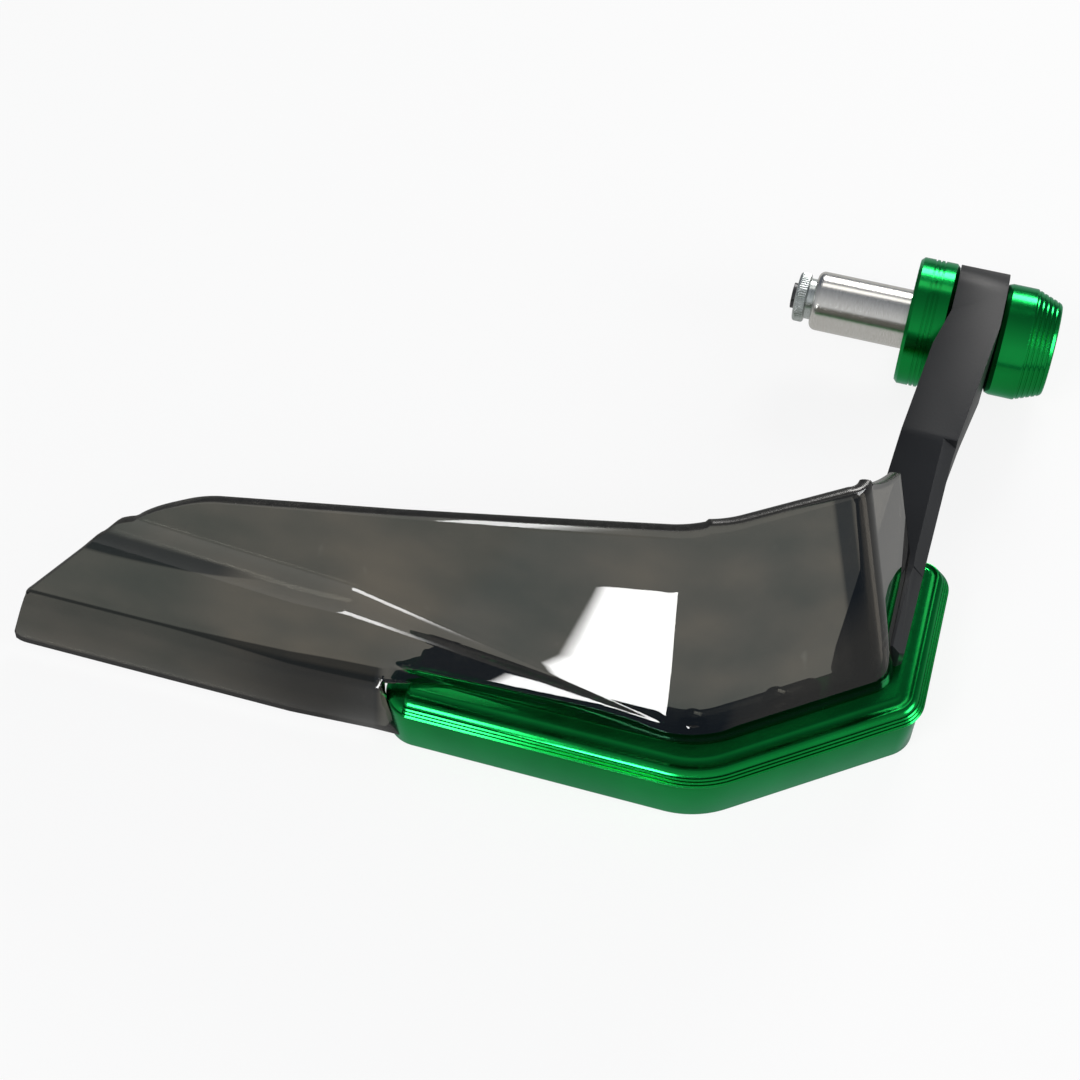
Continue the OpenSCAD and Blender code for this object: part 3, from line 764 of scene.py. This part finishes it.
def sheet_mesh(name, outer, inner, material):
    """A closed sheet from its outer and inner grids, with a rounded rim."""
    n, m = outer.shape[:2]
    mesh = bmesh.new()
    front = [[mesh.verts.new(outer[i, j] * MM) for j in range(m)] for i in range(n)]
    back = [[mesh.verts.new(inner[i, j] * MM) for j in range(m)] for i in range(n)]
    for i in range(n - 1):
        for j in range(m - 1):
            mesh.faces.new((front[i][j], front[i + 1][j], front[i + 1][j + 1], front[i][j + 1]))
            face = mesh.faces.new((back[i][j], back[i][j + 1], back[i + 1][j + 1], back[i + 1][j]))
            face.material_index = 2
    ring = [(i, 0) for i in range(n)] + [(n - 1, j) for j in range(1, m)]
    ring += [(i, m - 1) for i in range(n - 2, -1, -1)] + [(0, j) for j in range(m - 2, 0, -1)]
    outward = {(i, j): rim_outward(outer, i, j) for i, j in ring}
    loops = [[front[i][j] for i, j in ring]]
    for k in range(1, RIM_TURNS):
        angle = math.pi * k / RIM_TURNS
        loop = []
        for key in ring:
            centre = (outer[key] + inner[key]) * 0.5
            half = (outer[key] - inner[key]) * 0.5
            point = centre + half * math.cos(angle) + outward[key] * math.sin(angle)
            loop.append(mesh.verts.new(point * MM))
        loops.append(loop)
    loops.append([back[i][j] for i, j in ring])
    for loop, after in zip(loops, loops[1:]):
        for k in range(len(ring)):
            q = (k + 1) % len(ring)
            mesh.faces.new((loop[q], loop[k], after[k], after[q])).material_index = 1
    return finished(mesh, name, (material, EDGE, INSIDE))


outer_grid, inner_grid = shield_grids()
shield = sheet_mesh("shield_sheet", outer_grid, inner_grid, SMOKE)
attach(shield, "root")
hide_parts("wind_shield")


# Flange and screw bosses behind the sheet, in millimetres

FLANGE_W = 7.7
FLANGE_GAP = 2.5
FLANGE_START_X = -NOSE_X + 7.5
FLANGE_END_X = 0.6
FLANGE_BEND_R = 22
FLANGE_INNER_R = 14
FLANGE_CORNER_R = 2
FLANGE_LEVELS = ((0.02, 0.3), (0.3, 0.0), (SHEET - 0.4, 0.0), (SHEET - 0.1, 0.12), (SHEET, 0.4))
BOSS_R = 2.7
BOSS_H = 4.6
BOSS_SET_BACK = 2
BOSS_FILLET = 0.3
FIRST_BOSS = 14
MIDDLE_BOSS = 2
LAST_BOSS = 17


def flange_outline():
    out_d, in_d = EDGE_D + FLANGE_GAP, EDGE_D + FLANGE_W
    a = np.array([FLANGE_START_X, -REACH + out_d])
    b = plan_bend(out_d)
    c = along_plan(out_d, FLANGE_END_X)
    d = along_plan(in_d, FLANGE_END_X)
    e = plan_bend(in_d)
    f = np.array([FLANGE_START_X, -REACH + in_d])
    line = [a] + arc_points(a, b, c, FLANGE_BEND_R, 16) + [c]
    line += arc_points(c, d, e, FLANGE_CORNER_R, 6) + arc_points(d, e, f, FLANGE_INNER_R, 16)
    return line + arc_points(e, f, a, FLANGE_CORNER_R, 6)


def boss_places():
    mid = EDGE_D + SHEET + BOSS_SET_BACK
    corner = plan_bend(mid)
    return [
        np.array([-NOSE_X + FIRST_BOSS, -REACH + mid]),
        np.array([(-NOSE_X - VERTEX_X) / 2 + MIDDLE_BOSS, -REACH + mid]),
        corner + np.array([-1, 0.3]),
        corner + ALONG * LAST_BOSS,
    ]


def flange_piece():
    mesh = bmesh.new()
    plan = np.array(flange_outline())
    loops = []
    for h, inset in FLANGE_LEVELS:
        ring = []
        for k in range(len(plan)):
            tangent = unit(plan[(k + 1) % len(plan)] - plan[k - 1])
            side = np.array([-tangent[1], tangent[0]])
            ring.append(placed(plan[k] + side * inset, h))
        loops.append(ring)
    loft(mesh, loops)
    boss_profile = (
        (SHEET - 0.5, BOSS_R + 0.5), (SHEET, BOSS_R + BOSS_FILLET), (SHEET + 0.4, BOSS_R),
        (BOSS_H - BOSS_FILLET, BOSS_R), (BOSS_H, BOSS_R - BOSS_FILLET),
    )
    for place in boss_places():
        loft(mesh, [circle(place, radius, h, 32) for h, radius in boss_profile])
    # The flange's near-black smoke is painted shade.
    return finished(mesh, "shield_flange", (SHADED_FLANGE_SMOKE,), 50)


flange = flange_piece()
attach(flange, "root")
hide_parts("wind_shield")


# Guard rail: a body with a softened nose, and the grooved band round its top, in millimetres

RAIL_H = 15.6
RAIL_W = 16.4
RAIL_X = 22.3
RAIL_SIDE_W = 19.5
RAIL_END_Y = 67.5
RAIL_BEND_R = 22
RAIL_CORNER_R = 8
RAIL_END_R = 6
INNER_END_R = 3
INNER_CORNER_R = 4
INNER_BEND_R = 8
RAIL_SHARP = 32
FOOT_ROUND = ((0.0, 0.75), (0.12, 0.4), (0.4, 0.12), (0.75, 0.0))
WALL_TOP = -5.0
SHOULDER_H = -4.6
SHOULDER_R = 1.9
SHOULDER_TURNS = 6
LEDGE = 6.5
BAND_NOSE_R = 1.0
BAND_FOOT = (
    (-5.2, WALL_INSET + 0.05), (-2.95, WALL_INSET + 0.05), (-2.85, 0.3), (-2.72, 0.05), (-2.55, 0.0),
)
CHAMFER_LOW = (-2.55, 0.0)
CHAMFER_HIGH = (-0.12, 2.4)
RIBS = ((0.02, 0.16), (0.22, 0.36), (0.42, 0.56), (0.62, 0.97))
RIB_LIFT = 0.05
RIB_ROUND = 0.12
GROOVE = 0.3 * 0.7
BAND_TOP = (
    (-0.03, 2.55), (0.0, 2.75), (-0.02, 3.0), (-0.14, 3.3), (-0.27, 3.75), (-0.32, 4.3),
    (-0.27, 4.85), (-0.14, 5.25), (-0.02, 5.5), (0.0, 5.7), (0.0, 6.2),
)
SHIELD_SCREW_R = 1.5
SHIELD_BORE_R = SHIELD_SCREW_R * 1.83 + 0.4
SHIELD_BORE_DEPTH = 5.0
FOOT_SCREW_R = 2.5
FOOT_BORE_R = FOOT_SCREW_R * 1.7 + 0.9
FOOT_BORE_DEPTH = 6.5
FOOT_SCREWS = ((8.6, -78.0), (8.6, -93.0))


def rounded(corners, steps=12):
    """Outline of a polygon whose corners are each given with a radius."""
    out = []
    for k, (x, y, radius) in enumerate(corners):
        before, after = corners[k - 1], corners[(k + 1) % len(corners)]
        out += arc_points(np.array(before[:2]), np.array((x, y)), np.array(after[:2]), radius, steps)
    return out


def rail_plan(d, x, nose_r, q=0.0):
    """Plan of the rail at inset d on its outer side and q on the rest, with its nose at x."""
    side_x = RAIL_X - d
    inside_x = RAIL_X - RAIL_SIDE_W + q
    end_y = -RAIL_END_Y - d * 0.5 - q
    return rounded([
        (x, -REACH + d, nose_r),
        (*plan_bend(d), RAIL_BEND_R - d),
        (*along_plan(d, side_x), RAIL_CORNER_R - d),
        (side_x, end_y, RAIL_END_R - d),
        (inside_x, end_y, INNER_END_R),
        (*along_plan(RAIL_W - q, inside_x), INNER_CORNER_R),
        (*plan_bend(RAIL_W - q), INNER_BEND_R),
        (x, -REACH + RAIL_W - q, nose_r),
    ])


def rail_loft(name, levels):
    """A piece of the rail from levels of height, inset, nose place, nose radius and inner inset."""
    mesh = bmesh.new()
    loft(mesh, [[placed(p, h) for p in rail_plan(d, x, nose_r, q)] for h, d, x, nose_r, q in levels])
    return finished(mesh, name, (MATERIALS["green_anodised"],), RAIL_SHARP)


def bored(obj, bores):
    """Cuts plain round bores into the underside."""
    mesh = bmesh.new()
    for centre, radius, depth in bores:
        loft(mesh, [circle(centre, radius, h, 48) for h in (-RAIL_H - 1, -RAIL_H + depth)])
    cutter = finished(mesh, "cutter", ())
    cut = obj.modifiers.new("bores", "BOOLEAN")
    cut.operation = "DIFFERENCE"
    cut.solver = "EXACT"
    cut.object = cutter
    baked(obj)
    obj.data.set_sharp_from_angle(angle=math.radians(RAIL_SHARP))
    bpy.data.objects.remove(cutter)


def body_levels():
    x = -NOSE_X + WALL_INSET
    levels = []
    for h, d in [(-RAIL_H + above, inset) for above, inset in FOOT_ROUND] + [(WALL_TOP, 0.0)]:
        levels.append((h, WALL_INSET + d, x + d, NOSE_R - d, 0.0))
    for k in range(1, SHOULDER_TURNS + 1):
        t = math.pi / 2 * k / SHOULDER_TURNS
        inset = SHOULDER_R * (1 - math.cos(t))
        h = SHOULDER_H + SHOULDER_R * math.sin(t)
        levels.append((h, WALL_INSET + inset, x + inset, NOSE_R - inset, 0.02 * k))
    return levels


def on_chamfer(share, lift):
    """Height and inset at a share of the chamfer, lifted off it."""
    h = CHAMFER_LOW[0] + (CHAMFER_HIGH[0] - CHAMFER_LOW[0]) * share + lift
    d = CHAMFER_LOW[1] + (CHAMFER_HIGH[1] - CHAMFER_LOW[1]) * share - lift
    return h, d


def band_levels():
    """Levels of the band: its foot, ribs and grooves up the chamfer, and a shallow dip on top."""
    x = -NOSE_X + LEDGE
    profile = list(BAND_FOOT)
    for k, (start, end) in enumerate(RIBS):
        edge = (end - start) * RIB_ROUND
        profile += [on_chamfer(start, 0.0), on_chamfer(start + edge, RIB_LIFT),
                    on_chamfer(end - edge, RIB_LIFT), on_chamfer(end, 0.0)]
        if k < len(RIBS) - 1:
            profile.append(on_chamfer((end + RIBS[k + 1][0]) / 2, -GROOVE))
    top_start = len(profile)
    profile += BAND_TOP
    levels = []
    for k, (h, d) in enumerate(profile):
        q = 0.03 * max(k - top_start, 0)
        levels.append((h, d, x + q + (0.25 if k == 0 else 0), BAND_NOSE_R, q))
    return levels


rail_body = rail_loft("rail_body", body_levels())
bored(rail_body, [(place, SHIELD_BORE_R, SHIELD_BORE_DEPTH) for place in boss_places()]
      + [(place, FOOT_BORE_R, FOOT_BORE_DEPTH) for place in FOOT_SCREWS])
rail_band = rail_loft("rail_band", band_levels())
for piece in (rail_body, rail_band):
    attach(piece, "root")
    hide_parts("guard_rail")


# Expander nut with a finely knurled, rounded rim, in millimetres

NUT_RIM_R = 5.8
NUT_RIM_W = 2.6
NUT_ROUND = 0.7
NUT_ROUND_TURNS = 6
CONE_START = NUT_RIM_W + 1.6
CONE_END = CONE_START + 8.0
CONE_R = 4.8
CONE_END_R = CONE_R - 1.0
BORE_R = 3.05
KNURLS = 60
KNURL_DEPTH = 0.16
KNURL_POINTS = 6


def nut_stations():
    """Stations along the axis: a place, a radius and the share of the knurling's depth there."""
    stations = []
    for k in range(NUT_ROUND_TURNS + 1):
        turn = math.pi / 2 * k / NUT_ROUND_TURNS
        radius = NUT_RIM_R - NUT_ROUND + NUT_ROUND * math.sin(turn)
        stations.append((NUT_ROUND * (1 - math.cos(turn)), radius, k / NUT_ROUND_TURNS))
    return stations + [
        (NUT_RIM_W - 0.5, NUT_RIM_R, 1.0), (NUT_RIM_W - 0.15, NUT_RIM_R - 0.12, 0.5),
        (NUT_RIM_W, NUT_RIM_R - 0.4, 0.0), (NUT_RIM_W + 0.02, CONE_R + 0.2, 0.0),
        (NUT_RIM_W + 0.2, CONE_R, 0.0), (CONE_START, CONE_R, 0.0),
        (CONE_END, CONE_END_R, 0.0), (CONE_END, BORE_R, 0.0),
        (0.0, BORE_R, 0.0), (0.0, NUT_RIM_R - NUT_ROUND - 0.02, 0.0),
    ]


def nut_piece():
    solid = frame["nodes"]["expander_nut"]
    start = min(v.co.x for v in solid.data.vertices) / MM
    mesh = bmesh.new()
    rings = []
    count = KNURLS * KNURL_POINTS
    for x, outer_r, knurl in nut_stations():
        ring = []
        for k in range(count):
            angle = 2 * math.pi * k / count
            radius = outer_r - KNURL_DEPTH * knurl * (0.5 - 0.5 * math.cos(angle * KNURLS))
            y, z = radius * math.cos(angle), radius * math.sin(angle)
            ring.append(mesh.verts.new(((start + x) * MM, y * MM, z * MM)))
        rings.append(ring)
    for ring, after in zip(rings, rings[1:] + rings[:1]):
        for k in range(count):
            q = (k + 1) % count
            mesh.faces.new((ring[k], ring[q], after[q], after[k]))
    bmesh.ops.remove_doubles(mesh, verts=mesh.verts, dist=0.001 * MM)
    return finished(mesh, "nut_rim", (MATERIALS["zinc_steel"],), 40)


nut = nut_piece()
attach(nut, "root")
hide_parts("expander_nut")


# Arm with its edges softened, made from a copy of the solid

def softened(node, name, width, angle):
    source = frame["nodes"][node]
    obj = bpy.data.objects.new(name, source.data.copy())
    scene.collection.objects.link(obj)
    mesh = bmesh.new()
    mesh.from_mesh(obj.data)
    bmesh.ops.remove_doubles(mesh, verts=mesh.verts, dist=0.002 * MM)
    bmesh.ops.dissolve_limit(mesh, angle_limit=math.radians(1), verts=mesh.verts, edges=mesh.edges)
    mesh.to_mesh(obj.data)
    mesh.free()
    bevel = obj.modifiers.new("edges", "BEVEL")
    bevel.width = width
    bevel.segments = 3
    bevel.limit_method = "ANGLE"
    bevel.angle_limit = math.radians(angle)
    bevel.harden_normals = True
    obj.data.shade_smooth()
    baked(obj)
    obj.data.materials.clear()
    obj.data.materials.append(MATERIALS[SLOT_OF[node]])
    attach(obj, "root")
    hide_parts(node)


softened("arm", "arm_body", 0.45 * MM, 25)


# Floor and room, in metres

FLOOR_HALF = 4.0
FLOOR_GAP = 0.0001
FLOOR_GLOW = 0.86
MIRRORED_DEPTH = (-0.160, -0.1435)
MIRRORED_DARK = (0.15, 0.20, 0.26)
MIRRORED_LIGHT = (0.48, 0.48, 0.47)
LIP_SIDE = (-0.100, -0.088)
LIP_SHARE = 0.42
ROOM_SIDE = (0.10, -0.80, -0.35)


def floor_material():
    """A pale floor: nearly white when seen, with the object's shadow, and greyer in reflections."""
    material = bpy.data.materials.new("floor_look")
    material.use_nodes = True
    tree = material.node_tree
    tree.nodes.clear()
    path = add(tree, "ShaderNodeLightPath").outputs
    diffuse = add(tree, "ShaderNodeBsdfDiffuse")
    diffuse.inputs["Color"].default_value = (0.8, 0.8, 0.8, 1)
    seen = math_node(tree, "MAXIMUM", path["Is Camera Ray"], path["Is Transmission Ray"])
    plain = mix_shader(tree, times(tree, seen, FLOOR_GLOW), diffuse.outputs["BSDF"],
                       emission(tree, (1, 1, 1), 1.0))
    place = add(tree, "ShaderNodeNewGeometry")
    axes = add(tree, "ShaderNodeSeparateXYZ")
    tree.links.new(place.outputs["Position"], axes.inputs["Vector"])
    depth = mapped(tree, axes.outputs["Y"], MIRRORED_DEPTH)
    sheen = colour_ramp(tree, depth, (0.0, MIRRORED_DARK), (1.0, MIRRORED_LIGHT))
    share = mapped(tree, axes.outputs["X"], LIP_SIDE, (LIP_SHARE, 1.0), "SMOOTHSTEP")
    through = minus(tree, 1.0, path["Is Transmission Ray"])
    mirrored = times(tree, path["Is Glossy Ray"], through)
    floor = mix_shader(tree, mirrored, plain, emission(tree, sheen, share))
    out = add(tree, "ShaderNodeOutputMaterial")
    tree.links.new(floor, out.inputs["Surface"])
    return material


def make_floor():
    mesh = bpy.data.meshes.new("floor")
    z = CAD_LOW[2] - FLOOR_GAP
    s = FLOOR_HALF
    mesh.from_pydata([(-s, -s, z), (s, -s, z), (s, s, z), (-s, s, z)], [], [(0, 1, 2, 3)])
    obj = bpy.data.objects.new("floor", mesh)
    scene.collection.objects.link(obj)
    mesh.materials.append(floor_material())


def make_world():
    """White where it is seen, and elsewhere a soft room that is paler on one side."""
    world = bpy.data.worlds.new("studio")
    scene.world = world
    world.use_nodes = True
    tree = world.node_tree
    tree.nodes.clear()
    place = add(tree, "ShaderNodeTexCoord")
    turned = add(tree, "ShaderNodeVectorMath", operation="DOT_PRODUCT")
    turned.inputs[1].default_value = ROOM_SIDE
    tree.links.new(place.outputs["Generated"], turned.inputs[0])
    side = mapped(tree, turned.outputs["Value"], (-1, 1))
    room = add(tree, "ShaderNodeBackground")
    tree.links.new(colour_ramp(tree, side, (0.15, (0.10, 0.115, 0.14)), (0.75, (0.62, 0.63, 0.64))),
                   room.inputs["Color"])
    white = add(tree, "ShaderNodeBackground")
    white.inputs["Color"].default_value = (1, 1, 1, 1)
    white.inputs["Strength"].default_value = 1.0
    path = add(tree, "ShaderNodeLightPath").outputs
    seen = math_node(tree, "MAXIMUM", path["Is Camera Ray"], path["Is Transmission Ray"])
    out = add(tree, "ShaderNodeOutputWorld")
    tree.links.new(mix_shader(tree, seen, room.outputs["Background"], white.outputs["Background"]),
                   out.inputs["Surface"])


# Camera

CAMERA_PLACE = (0.0056, -0.3234, 0.3407)
AZIMUTH = math.radians(16.5)
TILT = math.radians(36.0)
LENS = 65.0
SENSOR = 36.0
FRAME_PX = 1080


def make_camera():
    data = bpy.data.cameras.new("camera")
    data.lens = LENS
    data.sensor_width = SENSOR
    data.clip_start = 0.01
    camera = bpy.data.objects.new("camera", data)
    scene.collection.objects.link(camera)
    camera.location = CAMERA_PLACE
    camera.rotation_euler = (TILT, 0, AZIMUTH)
    scene.camera = camera


# Light: soft boxes, and cards that show only in reflections

WARM = (1.0, 0.98, 0.95)
CARD_SOFT_END = 0.3
CARD_PLANE_Y = -0.185
CARD_LEVELS = (0, 1, 1)
PANEL_HIGHLIGHT_PX = (
    ((594, 587), (608, 587), (733, 598)),
    ((556, 654), (574, 656), (706, 676)),
    ((506, 676), (522, 679), (694, 702)),
    ((506, 692), (522, 696), (684, 718)),
)


def softbox(name, place, target, width, height, watts, colour=(1, 1, 1)):
    light = bpy.data.lights.new(name, "AREA")
    light.shape = "RECTANGLE"
    light.size = width
    light.size_y = height
    light.energy = watts
    light.color = colour
    obj = bpy.data.objects.new(name, light)
    scene.collection.objects.link(obj)
    obj.location = place
    direction = Vector(target) - Vector(place)
    obj.rotation_euler = direction.to_track_quat("-Z", "Y").to_euler()
    obj.visible_camera = False
    return obj


def card_material(name, strength, colour):
    """Emission that follows the card's glow and ends softly where the glow does."""
    material = bpy.data.materials.new(name)
    material.use_nodes = True
    tree = material.node_tree
    tree.nodes.clear()
    level = add(tree, "ShaderNodeAttribute", attribute_name="glow").outputs["Fac"]
    glow = emission(tree, colour, times(tree, level, strength))
    clear = add(tree, "ShaderNodeBsdfTransparent")
    shown = between(tree, level, 0.0, CARD_SOFT_END)
    out = add(tree, "ShaderNodeOutputMaterial")
    tree.links.new(mix_shader(tree, shown, clear.outputs["BSDF"], glow), out.inputs["Surface"])
    return material


def card(name, rows, strength, colour=(1, 1, 1)):
    """A bright card that shows only in reflections; each row holds corners with their brightness."""
    mesh = bmesh.new()
    layer = mesh.verts.layers.float.new("glow")
    grid = []
    for row in rows:
        line = []
        for place, level in row:
            vert = mesh.verts.new(place)
            vert[layer] = level
            line.append(vert)
        grid.append(line)
    for line, after in zip(grid, grid[1:]):
        for k in range(len(line) - 1):
            mesh.faces.new((line[k], line[k + 1], after[k + 1], after[k]))
    data = bpy.data.meshes.new(name)
    mesh.to_mesh(data)
    mesh.free()
    data.materials.append(card_material(name + "_look", strength, colour))
    obj = bpy.data.objects.new(name, data)
    scene.collection.objects.link(obj)
    obj.visible_camera = False
    obj.visible_diffuse = False
    obj.visible_transmission = False
    obj.visible_shadow = False


def facing_card(name, place, target, width, height, strength, colour=(1, 1, 1), fade=1.0):
    """An upright card turned towards the target; it fades to the level fade towards +X."""
    turn = (Vector(target) - Vector(place)).to_track_quat("-Z", "Y").to_matrix()
    rows = []
    for up in (-1, 1):
        corners = []
        for k in range(9):
            across = -1 + k / 4
            offset = turn @ Vector((across * width / 2, up * height / 2, 0))
            corners.append(Vector(place) + offset)
        by_x = sorted(range(9), key=lambda k: corners[k].x)
        levels = [1 if by_x.index(k) < 4 else fade ** ((by_x.index(k) - 3) / 5) for k in range(9)]
        rows.append(list(zip(corners, levels)))
    card(name, rows, strength, colour)


def mirrored_point(px, py, plane_y):
    """Point of the upright plane y = plane_y that the front panel mirrors at a pixel of the frame."""
    right = Vector((math.cos(AZIMUTH), math.sin(AZIMUTH), 0))
    level = math.cos(TILT)
    up = Vector((-math.sin(AZIMUTH) * level, math.cos(AZIMUTH) * level, math.sin(TILT)))
    ahead = up.cross(right)
    middle = FRAME_PX / 2
    ray = ahead * (LENS / SENSOR * FRAME_PX) + right * (px - middle) - up * (py - middle)
    normal = Vector((0, -1, LEAN)).normalized()
    base = Vector((0, (-REACH + EDGE_D) * MM, RAIL_TOP * MM))
    start = Vector(CAMERA_PLACE)
    hit = start + ray * ((base - start).dot(normal) / ray.dot(normal))
    away = ray - normal * (2 * ray.dot(normal))
    return hit + away * ((plane_y - hit.y) / away.y)


make_floor()
make_world()
make_camera()
card("low_card", [
    [(mirrored_point(px, py, CARD_PLANE_Y), level) for (px, py), level in zip(row, CARD_LEVELS)]
    for row in PANEL_HIGHLIGHT_PX
], strength=22)
facing_card("band_card", place=(-0.082, -0.222, 0.064), target=(-0.066, -0.133, 0.0),
            width=0.056, height=0.056, strength=17, fade=0.02)
facing_card("tube_card", place=(-0.030, 0.10, 0.225), target=(0.005, 0.0, 0.0),
            width=0.10, height=0.055, strength=1.8, colour=WARM)
front_box = softbox("front_box", place=(-0.30, -0.60, 0.62), target=(-0.04, -0.10, 0.0),
                    width=0.30, height=0.30, watts=2.5)
front_box.visible_glossy = False
softbox("back_box", place=(0.05, 0.70, 0.42), target=(-0.02, -0.06, 0.0),
        width=0.34, height=0.22, watts=3.4, colour=WARM)
softbox("side_box", place=(0.62, -0.10, 0.25), target=(0.0, -0.08, 0.0),
        width=0.30, height=0.30, watts=2.5)

scene.view_settings.view_transform = "Standard"
